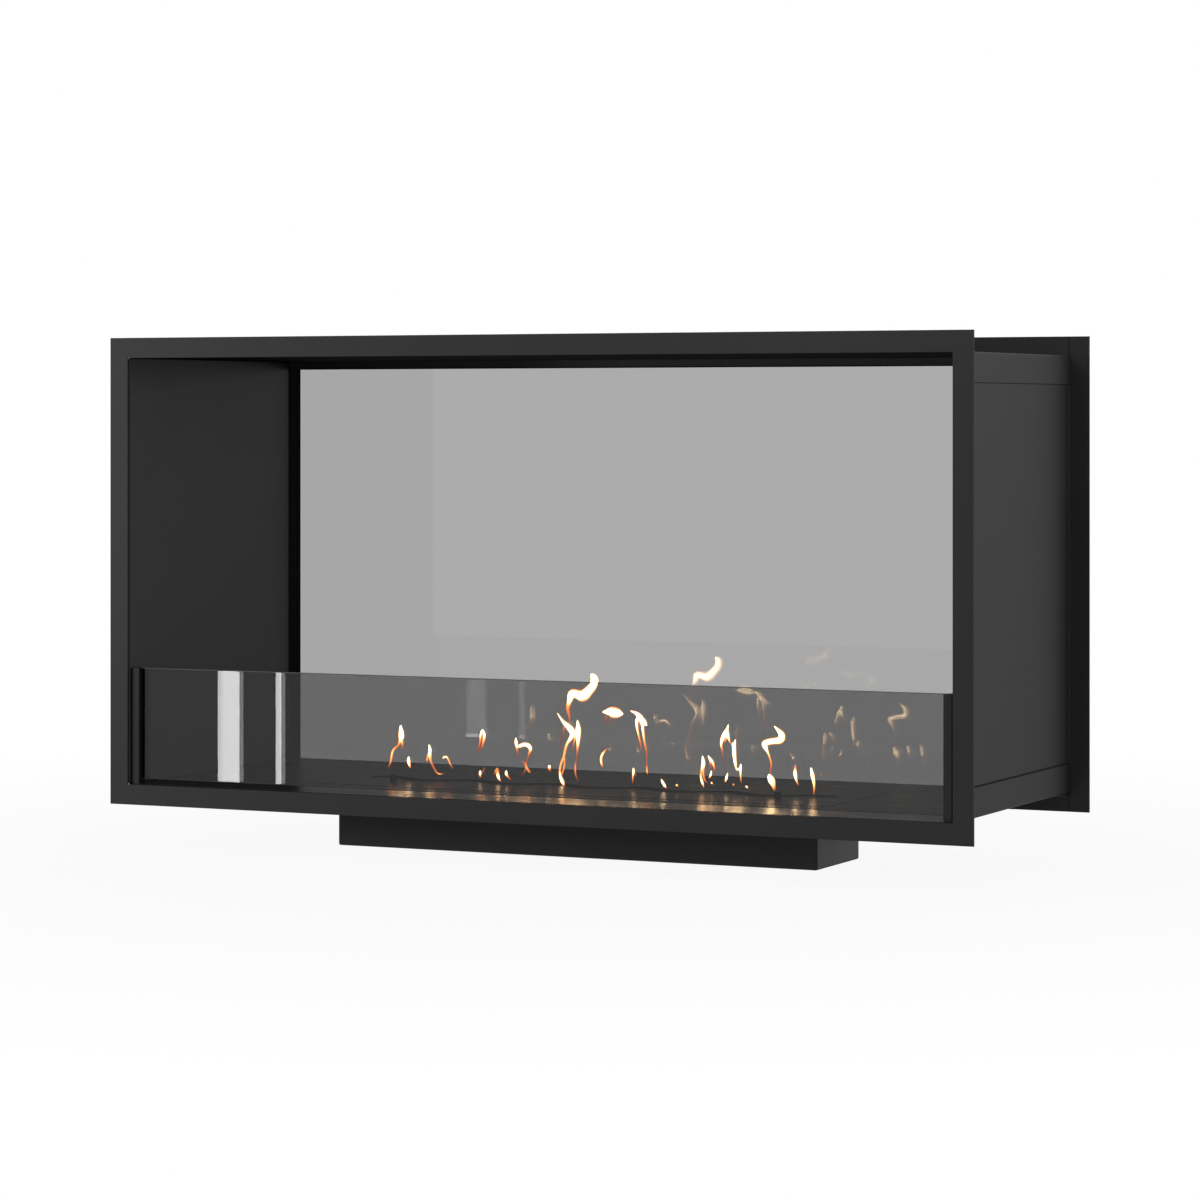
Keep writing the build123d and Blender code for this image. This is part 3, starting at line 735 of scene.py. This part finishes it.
def make_lap_shade_beads():
    """Black beads where the tray's and the cover's laps end on the side panels: painted shade for the shade
    lines along the laps' edges.
    """
    mesh = bmesh.new()
    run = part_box("rear_flange")[0].y - SHEET
    laps = ((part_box("floor_tray")[1].z, TRAY_BEAD), (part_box("top_cover")[0].z, -COVER_BEAD))
    for lap_edge, rise in laps:
        for side in (-1, 1):
            front, back = (bead_ring(mesh, side, y, lap_edge, rise) for y in (-run, run))
            for index in range(len(front)):
                after = (index + 1) % len(front)
                mesh.faces.new((front[index], front[after], back[after], back[index]))
            mesh.faces.new(front[::-1])
            mesh.faces.new(back)
    bmesh.ops.recalc_face_normals(mesh, faces=mesh.faces)
    data = bpy.data.meshes.new("lap_shade_beads")
    mesh.to_mesh(data)
    mesh.free()
    data.materials.append(slot_material["black_seal"])
    shade_beads = bpy.data.objects.new("lap_shade_beads", data)
    bpy.context.scene.collection.objects.link(shade_beads)
    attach(shade_beads, "root")


# black beads that paint the shade lines along the laps' edges
make_lap_shade_beads()

# ---------------------------------------------------------------------- flames
SLOT_HALF_WAVES = 11
SLOT_LENGTH = 0.671
WAVE_HEIGHT = 0.013


def slot_middle(x):
    """Where the middle of the top plate's wavy slot lies along Y."""
    return -WAVE_HEIGHT * math.cos(math.pi * x * SLOT_HALF_WAVES / SLOT_LENGTH)


# Each flame is a few strokes, read from the picture. A point of a stroke is its column,
# its row, half the stroke's width, all in pixels of the picture, and its heat from 0 to 1.
FLAMES = {
    "left_s": [
        [(388.0, 767.8, 0.5, 0.2), (390.7, 761.7, 0.9, 0.6), (391.9, 754.8, 1.2, 0.75),
         (393.8, 749.4, 1.2, 0.7), (398.0, 745.6, 1.2, 0.5), (400.3, 741.0, 1.7, 0.8),
         (401.4, 737.2, 2.8, 1.0), (401.3, 732.6, 2.6, 1.0), (401.0, 728.8, 1.8, 1.0),
         (400.8, 725.3, 0.3, 1.0)],
        [(402.6, 750.2, 0.4, 0.2), (402.5, 746.0, 1.1, 0.4), (402.2, 741.0, 1.6, 0.8)],
    ],
    "left_bud": [
        [(411.0, 768.3, 0.4, 0.3), (409.6, 765.5, 1.1, 0.8), (408.7, 761.0, 1.7, 1.0),
         (408.7, 758.5, 1.2, 1.0), (408.7, 756.5, 0.3, 0.9)],
    ],
    "left_fork": [
        [(443.5, 773.5, 0.4, 0.3), (439.7, 773.9, 0.7, 0.7), (436.6, 772.2, 0.8, 0.5),
         (433.6, 767.0, 1.0, 0.4), (430.9, 761.0, 1.2, 0.6), (429.9, 754.0, 1.7, 0.9),
         (430.1, 749.4, 1.6, 1.0), (429.0, 744.8, 0.3, 1.0)],
        [(427.0, 761.0, 0.9, 0.6), (427.5, 758.5, 1.3, 0.6), (428.8, 754.0, 1.4, 0.8)],
    ],
    "hook": [
        [(453.1, 768.6, 0.3, 0.3), (450.4, 764.0, 0.7, 0.6), (448.4, 759.4, 0.9, 0.7),
         (446.2, 756.6, 0.9, 0.9), (443.4, 757.8, 1.0, 0.8), (443.6, 759.0, 0.4, 0.5)],
    ],
    "leaf": [
        [(481.5, 750.5, 0.4, 0.2), (482.6, 745.0, 1.0, 0.5), (484.0, 739.0, 1.3, 0.8),
         (484.4, 734.0, 1.3, 1.0), (482.6, 729.6, 0.4, 1.0)],
        [(474.9, 756.0, 0.3, 0.15), (477.6, 750.0, 0.9, 0.25), (480.3, 742.0, 1.2, 0.5),
         (481.0, 735.0, 1.3, 0.9), (482.2, 730.5, 0.8, 1.0)],
        [(479.8, 750.0, 0.9, 0.2), (481.8, 741.0, 1.6, 0.3), (482.6, 734.0, 1.5, 0.6)],
    ],
    "low_twig": [
        [(480.6, 777.3, 0.4, 0.4), (480.2, 774.0, 1.4, 0.9), (480.4, 771.0, 0.7, 1.0)],
        [(481.2, 774.5, 0.5, 0.3), (483.3, 770.5, 0.8, 0.35), (485.3, 766.5, 0.4, 0.2)],
    ],
    "low_pair": [
        [(500.8, 781.6, 0.4, 0.4), (498.6, 777.5, 1.3, 1.0), (497.8, 773.5, 1.5, 0.8),
         (497.7, 770.0, 1.4, 0.5), (497.6, 767.8, 0.4, 0.6)],
        [(494.8, 775.0, 0.6, 0.3), (495.4, 771.5, 0.9, 0.5), (497.0, 768.6, 0.8, 0.7)],
        [(511.0, 780.2, 0.3, 0.3), (508.6, 777.4, 0.8, 0.5), (506.4, 774.0, 1.5, 0.9),
         (506.4, 770.9, 0.6, 1.0)],
    ],
    "arch": [
        [(519.0, 761.0, 0.3, 0.15), (517.8, 753.0, 0.8, 0.3), (516.8, 746.5, 1.4, 0.8),
         (516.2, 742.0, 1.5, 1.0), (515.8, 737.9, 0.3, 1.0)],
        [(516.8, 746.0, 1.2, 0.9), (520.0, 746.0, 1.9, 0.9), (524.0, 744.4, 2.0, 1.0),
         (528.3, 745.3, 2.2, 1.0), (530.6, 749.0, 1.8, 0.9), (529.0, 754.0, 1.1, 0.5),
         (526.7, 761.0, 0.8, 0.3), (526.2, 766.3, 1.3, 0.6), (529.3, 771.6, 1.1, 0.5),
         (530.0, 773.0, 0.4, 0.3)],
        [(520.2, 776.8, 0.3, 0.15), (524.2, 772.0, 0.7, 0.25), (526.0, 765.8, 1.0, 0.5),
         (522.3, 760.5, 0.7, 0.3)],
    ],
    "spark": [
        [(550.4, 772.0, 0.5, 0.2), (549.8, 769.5, 1.3, 0.5), (549.4, 766.8, 1.5, 1.0),
         (549.6, 765.2, 0.4, 1.0)],
    ],
    "tall": [
        [(570.0, 722.5, 0.6, 0.3), (569.2, 715.5, 1.4, 0.45), (568.0, 708.0, 2.2, 0.55),
         (569.6, 701.0, 2.6, 0.95), (572.3, 694.0, 4.6, 1.0), (577.5, 694.3, 4.6, 1.0),
         (583.0, 695.7, 6.0, 1.0), (588.2, 691.3, 5.0, 1.0), (593.4, 685.0, 4.2, 1.0),
         (594.4, 678.5, 3.6, 1.0), (591.5, 674.5, 1.4, 1.0)],
        [(564.3, 785.8, 0.7, 0.5), (562.9, 782.5, 1.8, 0.9), (560.7, 777.0, 1.6, 0.9),
         (560.0, 770.0, 1.2, 0.7), (561.2, 763.5, 1.2, 0.7), (563.9, 756.5, 1.3, 0.7),
         (565.4, 749.3, 1.4, 0.7), (567.6, 743.0, 1.5, 0.8), (571.0, 738.0, 2.1, 0.95),
         (572.6, 733.5, 2.8, 1.0), (570.6, 729.0, 3.3, 1.0), (566.8, 725.0, 2.5, 1.0),
         (562.5, 720.5, 1.5, 0.9), (557.6, 713.3, 0.3, 0.9)],
        [(561.5, 775.5, 0.7, 0.5), (564.1, 767.5, 0.9, 0.6), (564.6, 761.0, 0.9, 0.6),
         (564.0, 756.0, 1.0, 0.7)],
        [(559.8, 748.0, 0.5, 0.12), (561.0, 741.0, 0.9, 0.2), (563.4, 733.0, 1.0, 0.3),
         (564.3, 726.0, 1.0, 0.5)],
        [(578.6, 782.0, 0.3, 0.15), (575.9, 775.5, 0.7, 0.4), (575.3, 767.5, 0.9, 0.6),
         (576.2, 760.0, 0.7, 0.3), (577.2, 752.0, 0.9, 0.45), (578.0, 744.0, 1.6, 0.85),
         (578.3, 737.0, 2.3, 0.95), (578.2, 731.0, 2.9, 1.0), (578.2, 726.0, 2.1, 1.0),
         (577.5, 720.4, 0.3, 1.0)],
        [(572.4, 751.5, 0.3, 0.2), (573.8, 743.5, 0.9, 0.45), (575.6, 737.0, 1.4, 0.8),
         (577.0, 731.0, 2.0, 1.0)],
    ],
    "floating": [
        [(603.0, 711.9, 0.6, 1.0), (606.5, 711.8, 2.6, 1.0), (611.0, 711.5, 4.9, 1.0),
         (614.5, 712.5, 5.6, 1.0), (619.0, 713.5, 4.4, 1.0), (622.4, 714.0, 1.2, 1.0)],
        [(604.5, 726.0, 0.4, 0.1), (605.3, 721.0, 0.9, 0.2), (606.0, 716.0, 1.0, 0.4)],
        [(608.4, 726.5, 0.3, 0.1), (609.8, 721.0, 0.8, 0.2), (611.0, 716.0, 1.0, 0.4)],
    ],
    "crescent": [
        [(602.7, 767.0, 0.3, 0.5), (601.5, 763.0, 1.1, 0.8), (601.2, 758.0, 1.4, 0.8),
         (603.3, 753.0, 1.2, 0.8), (607.3, 748.4, 0.3, 0.4)],
    ],
    "bird": [
        [(647.9, 775.0, 0.3, 0.2), (647.1, 771.0, 0.9, 0.7), (646.9, 763.5, 0.8, 0.35),
         (646.8, 755.0, 0.8, 0.35), (645.6, 746.6, 1.1, 0.5), (644.0, 738.0, 1.2, 0.75),
         (643.0, 730.0, 1.4, 0.9), (642.4, 723.0, 2.0, 1.0), (640.3, 717.5, 3.0, 1.0),
         (636.0, 713.0, 1.7, 1.0), (630.6, 710.9, 0.3, 0.9)],
        [(642.3, 752.0, 0.4, 0.2), (640.6, 743.6, 0.8, 0.45), (638.5, 734.4, 1.0, 0.75),
         (636.9, 726.0, 1.2, 0.95), (637.2, 720.0, 1.8, 1.0), (639.8, 717.0, 2.0, 1.0)],
        [(642.6, 719.5, 2.4, 1.0), (645.0, 722.6, 1.9, 1.0), (646.5, 725.6, 0.8, 1.0)],
        [(639.2, 731.0, 0.5, 0.2), (639.4, 725.0, 1.0, 0.4), (639.6, 720.5, 1.0, 0.7)],
    ],
    "low_wishbone": [
        [(632.6, 783.0, 0.4, 0.3), (632.9, 777.5, 0.9, 0.6), (633.5, 772.0, 1.3, 1.0),
         (633.6, 768.0, 0.3, 1.0)],
        [(636.3, 777.0, 0.3, 0.2), (635.2, 774.0, 0.7, 0.4), (634.0, 771.0, 0.9, 0.8)],
    ],
    "low_dash": [
        [(666.6, 788.2, 0.3, 0.5), (664.6, 785.4, 1.2, 1.0), (662.4, 781.6, 1.2, 1.0),
         (661.4, 779.0, 0.5, 0.8)],
    ],
    "low_dot": [
        [(678.0, 786.4, 0.4, 0.4), (677.0, 785.2, 1.3, 0.8), (676.2, 784.2, 0.5, 0.6)],
    ],
    "twins": [
        [(704.0, 787.3, 0.4, 0.5), (702.4, 782.5, 1.3, 0.9), (701.0, 777.0, 1.3, 0.8),
         (701.6, 772.0, 1.6, 0.65), (703.0, 766.5, 2.0, 0.95), (703.4, 761.5, 1.8, 1.0),
         (702.5, 756.0, 0.3, 1.0)],
        [(707.8, 782.6, 0.3, 0.3), (705.0, 780.3, 0.7, 0.5), (703.6, 775.0, 0.9, 0.6),
         (703.2, 769.0, 1.2, 0.8)],
        [(714.6, 770.5, 0.3, 0.4), (714.0, 766.0, 1.0, 0.7), (712.3, 761.5, 1.5, 0.9),
         (709.8, 758.3, 1.2, 1.0), (708.3, 755.8, 0.3, 1.0)],
        [(711.0, 770.0, 0.3, 0.2), (710.7, 765.0, 0.8, 0.4), (710.0, 760.5, 1.0, 0.8)],
        [(712.5, 769.0, 0.5, 0.15), (712.4, 765.0, 1.0, 0.35), (711.2, 761.0, 1.0, 0.6)],
        [(708.8, 778.4, 0.3, 0.4), (710.6, 775.4, 1.2, 0.9), (711.5, 770.8, 0.4, 0.9)],
        [(712.4, 784.2, 0.4, 0.5), (711.8, 783.0, 0.9, 0.9), (711.4, 781.8, 0.3, 0.7)],
    ],
    "tulip": [
        [(725.8, 771.0, 0.3, 0.15), (724.0, 762.5, 0.5, 0.2), (722.6, 752.0, 0.8, 0.4),
         (721.3, 745.0, 1.2, 0.85), (722.4, 739.0, 2.0, 1.0), (725.2, 733.5, 2.4, 1.0),
         (727.2, 729.0, 1.3, 1.0), (728.4, 725.0, 0.3, 1.0)],
        [(731.0, 744.5, 0.3, 0.4), (729.2, 740.0, 1.0, 0.8), (727.8, 735.0, 1.7, 1.0),
         (727.6, 730.5, 1.0, 1.0)],
        [(724.6, 743.0, 0.6, 0.3), (725.8, 739.0, 1.5, 0.65), (726.3, 735.0, 1.6, 0.9)],
        [(725.2, 782.3, 0.4, 0.5), (726.3, 778.6, 1.3, 1.0), (727.7, 773.0, 0.3, 0.9)],
    ],
    "candle": [
        [(736.6, 771.5, 0.3, 0.5), (735.8, 766.0, 1.1, 0.9), (734.9, 760.0, 1.6, 1.0),
         (734.2, 752.0, 2.0, 1.0), (734.2, 746.0, 1.9, 1.0), (735.4, 739.9, 0.3, 1.0)],
        [(733.6, 748.0, 1.4, 1.0), (732.8, 745.0, 0.9, 1.0), (732.2, 742.4, 0.3, 0.8)],
        [(741.2, 782.6, 0.3, 0.4), (740.7, 776.5, 0.9, 0.7), (740.6, 771.0, 1.1, 0.9),
         (740.7, 767.0, 1.1, 1.0), (740.8, 764.2, 0.3, 1.0)],
        [(736.4, 768.0, 0.9, 0.9), (738.4, 769.4, 1.3, 0.9), (740.4, 768.0, 1.1, 1.0)],
    ],
    "right_dashes": [
        [(734.0, 785.6, 0.3, 0.4), (733.5, 784.6, 0.9, 0.7), (733.2, 783.4, 0.3, 0.5)],
        [(748.0, 788.5, 0.3, 0.5), (746.8, 786.8, 1.2, 0.9), (746.0, 785.6, 0.5, 0.7)],
    ],
    "right_s": [
        [(770.0, 774.5, 0.6, 0.4), (770.7, 769.5, 0.8, 0.4), (771.4, 764.0, 1.1, 0.5),
         (770.0, 758.0, 1.0, 0.65), (768.0, 752.6, 1.1, 0.85), (765.8, 748.0, 2.2, 1.0),
         (765.0, 743.8, 3.4, 1.0), (769.6, 741.6, 3.3, 1.0), (775.4, 740.8, 3.4, 1.0),
         (780.6, 739.6, 3.9, 1.0), (781.6, 734.4, 3.2, 1.0), (778.0, 729.8, 1.8, 0.95),
         (774.4, 726.2, 0.3, 0.9)],
        [(774.4, 790.4, 1.2, 0.3), (773.6, 786.0, 2.2, 0.75), (771.6, 780.5, 3.6, 1.0),
         (769.9, 776.5, 2.6, 1.0), (769.4, 774.4, 1.0, 1.0)],
    ],
    "right_bud": [
        [(798.8, 785.6, 0.3, 0.3), (796.5, 780.5, 1.1, 0.8), (795.2, 773.0, 1.8, 1.0),
         (795.6, 764.6, 0.4, 0.4)],
    ],
    "right_reed": [
        [(813.8, 795.2, 0.4, 0.3), (814.2, 787.0, 1.1, 0.7), (813.6, 780.5, 1.7, 0.9),
         (812.3, 774.0, 1.9, 1.0), (811.0, 767.8, 0.5, 1.0)],
        [(821.6, 775.4, 0.5, 0.25), (821.0, 774.4, 1.1, 0.35), (820.4, 773.6, 0.4, 0.25)],
    ],
}
STROKE_STEPS = 5  # rings between two points of a stroke
RING_POINTS = 10
FLAME_DEPTH = 0.7  # thickness of a flame along Y as a share of its width
FLAME_FULLNESS = 1.08  # a stroke is made this much wider than it was read, because its rim is dim
LEAST_HALF_WIDTH = 0.15  # pixels, at the tips


def between(before, start, end, after, share):
    """A value on the smooth curve from start to end, which also knows its neighbours."""
    bend = 2 * before - 5 * start + 4 * end - after
    twist = 3 * start - before - 3 * end + after
    return 0.5 * (2 * start + (end - before) * share + bend * share * share + twist * share ** 3)


def curve_through(points, steps):
    """Points on a smooth curve through the given ones, each a tuple of numbers."""
    smooth = []
    last = len(points) - 1
    for index in range(last):
        before, start = points[max(index - 1, 0)], points[index]
        end, after = points[index + 1], points[min(index + 2, last)]
        for step in range(steps):
            values = zip(before, start, end, after)
            smooth.append(tuple(between(*four, step / steps) for four in values))
    smooth.append(points[-1])
    return smooth


def flame_stroke(mesh, heat_layer, rim_layer, points, depth_y):
    """Adds one stroke of a flame as a closed, flattened tube."""
    rings = []
    line = curve_through(points, STROKE_STEPS)
    for index, (column, row, half_width, heat) in enumerate(line):
        ahead = line[min(index + 1, len(line) - 1)]
        behind = line[max(index - 1, 0)]
        tangent = Vector((ahead[0] - behind[0], behind[1] - ahead[1])).normalized()
        centre, size = from_picture(column, row, depth_y)
        radius = max(half_width, LEAST_HALF_WIDTH) * FLAME_FULLNESS * size
        ring = []
        for turn in range(RING_POINTS):
            angle = 2 * math.pi * turn / RING_POINTS
            across = math.cos(angle) * radius
            deep = math.sin(angle) * radius * FLAME_DEPTH
            vertex = mesh.verts.new(centre + Vector((tangent.y * across, deep, -tangent.x * across)))
            vertex[heat_layer] = heat
            vertex[rim_layer] = math.cos(angle)
            ring.append(vertex)
        rings.append(ring)
    for low, high in zip(rings, rings[1:]):
        for turn in range(RING_POINTS):
            after = (turn + 1) % RING_POINTS
            mesh.faces.new((low[turn], low[after], high[after], high[turn]))
    mesh.faces.new(rings[0][::-1])
    mesh.faces.new(rings[-1])


def make_flames():
    """All flames as one mesh. Each stands over the slot at its own foot."""
    mesh = bmesh.new()
    heat_layer = mesh.verts.layers.float.new("flame_warmth")
    rim_layer = mesh.verts.layers.float.new("flame_rim")
    for strokes in FLAMES.values():
        foot = max((stroke[0] for stroke in strokes), key=lambda point: point[1])
        foot_x = from_picture(foot[0], foot[1], 0.0)[0].x
        for stroke in strokes:
            flame_stroke(mesh, heat_layer, rim_layer, stroke, slot_middle(foot_x))
    bmesh.ops.recalc_face_normals(mesh, faces=mesh.faces)
    data = bpy.data.meshes.new("flames")
    mesh.to_mesh(data)
    mesh.free()
    data.shade_smooth()
    data.materials.append(material("flame_glow", flame_glow))
    flames = bpy.data.objects.new("flames", data)
    bpy.context.scene.collection.objects.link(flames)
    return flames


# The flames ride the plate through whose slot they burn, so that a lifted plate doesn't cut them.
flames = make_flames()
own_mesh(flames)
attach(flames, "burner_plate")

# ---------------------------------------------------------------------- studio
FLOOR_SIZE = 60.0
FLOOR_DROP = 0.0005  # how far the floor lies under the insert
PAPER_GREY = (0.85, 0.85, 0.85, 1.0)
GLOW_SHARE = 0.93  # how much of the floor near the insert is white glow, the rest being paper
GLOW_START = 0.7  # from here outwards it becomes all glow within a metre
DIFFUSE_LEVEL = 0.47  # how bright the white room is for the light that falls on things
GLOSS_LEVEL = 0.58  # how bright it is where paint, metal and glass mirror it


def seen_directly(w):
    """1 for rays from the camera, from gloss and through glass, else 0."""
    kinds = [w.node("ShaderNodeLightPath", output=index) for index in (0, 3, 6)]
    return (kinds[0] + kinds[1] + kinds[2]).clamped()


def seen_level(w):
    """How bright the room is where it is seen directly: white, but less in a mirror image."""
    return 1 - w.node("ShaderNodeLightPath", output=3) * (1 - GLOSS_LEVEL)


def floor_paint(w):
    """White floor that shows as white paper and still takes the object's shadow."""
    place = w.place()
    reach = (w.axis(place, 0) ** 2.0 + w.axis(place, 1) ** 2.0) ** 0.5
    fade = (reach - GLOW_START).clamped()
    paper = w.principled(Base_Color=PAPER_GREY, Roughness=0.9)
    glow = w.node("ShaderNodeEmission", {}, {"Strength": seen_level(w)})
    return w.blend(seen_directly(w) * (GLOW_SHARE + fade * (1 - GLOW_SHARE)), paper, glow)


floor_data = bpy.data.meshes.new("studio_floor")
edge = FLOOR_SIZE / 2
corners = [(-edge, -edge, 0), (edge, -edge, 0), (edge, edge, 0), (-edge, edge, 0)]
floor_data.from_pydata(corners, [], [(0, 1, 2, 3)])
floor_data.materials.append(material("studio_floor", floor_paint))
floor = bpy.data.objects.new("studio_floor", floor_data)
floor.location.z = -FLOOR_DROP
bpy.context.scene.collection.objects.link(floor)

world = bpy.data.worlds.new("white_room")
world.use_nodes = True
sky = Wiring(world.node_tree)
level = DIFFUSE_LEVEL + seen_directly(sky) * (seen_level(sky) - DIFFUSE_LEVEL)
backdrop = sky.node("ShaderNodeBackground", {}, {"Color": (1.0, 1.0, 1.0, 1.0), "Strength": level})
sky.node("ShaderNodeOutputWorld", {}, {"Surface": backdrop})
bpy.context.scene.world = world


def soft_box(name, place, target, size, power, lit=(), height=None):
    """A soft area lamp that faces target. Where lit names nodes, it lights only those."""
    lamp_data = bpy.data.lights.new(name, "AREA")
    lamp_data.shape = "RECTANGLE"
    lamp_data.size = size
    lamp_data.size_y = height or size
    lamp_data.energy = power
    lamp = bpy.data.objects.new(name, lamp_data)
    lamp.location = place
    lamp.rotation_euler = (Vector(target) - Vector(place)).to_track_quat("-Z", "Y").to_euler()
    bpy.context.scene.collection.objects.link(lamp)
    lamp.visible_camera = False
    if lit:
        receivers = bpy.data.collections.new(name)
        for node in lit:
            receivers.objects.link(nodes[node])
        lamp.light_linking.receiver_collection = receivers


casing_middle = (0, 0, 0.36)
soft_box("left_box", (-2.0, -1.6, 0.5), casing_middle, size=0.4, power=9.0)
soft_box("upper_left_box", (-1.4, -0.9, 1.0), casing_middle, size=0.4, power=0.9)
soft_box("rear_right_box", (2.2, 1.2, 0.7), casing_middle, size=0.4, power=0.85)
soft_box("top_rail_box", (0.32, -0.55, 0.95), (0.52, -0.22, 0.65), size=0.3, power=0.5)
inner_wall, right_side = ["left_side_panel"], ["right_side_panel", "top_cover"]
soft_box("inner_wall_box", (2.5, 2.5, 0.6), (-0.57, 0, 0.4), size=0.5, power=40.0, lit=inner_wall)
soft_box("side_box", (1.1, 0.1, 0.95), (0.575, -0.17, 0.6), size=0.2, power=1.1, lit=right_side)
soft_box("housing_box", (0.85, 1.08, 0.12), (0.34, 0, 0.04), size=0.3, power=1.4, lit=["burner_housing"])

# Two upright strip lamps stand left of the insert and are mirrored in each pane.
STRIP_Y = -1.0
STRIP_AIM = Vector((0.51, 0.86, 0))
STRIPS = {"broad": (-0.899, 0.033), "narrow": (-0.811, 0.0084)}  # place along X, and width
MIRRORS = {  # the strip's lower and upper end for each pane, and its power in W per square metre
    "front_glass": (0.003, 0.177, 37.0),
    "rear_glass": (-0.002, 0.110, 50.0),
}
for pane, (low, high, brightness) in MIRRORS.items():
    for strip, (strip_x, width) in STRIPS.items():
        place = Vector((strip_x, STRIP_Y, (low + high) / 2))
        height = high - low
        power = brightness * width * height
        soft_box(f"{strip}_strip_{pane}", place, place + STRIP_AIM, width, power, [pane], height)

scene = bpy.context.scene
scene.view_settings.view_transform = "Standard"
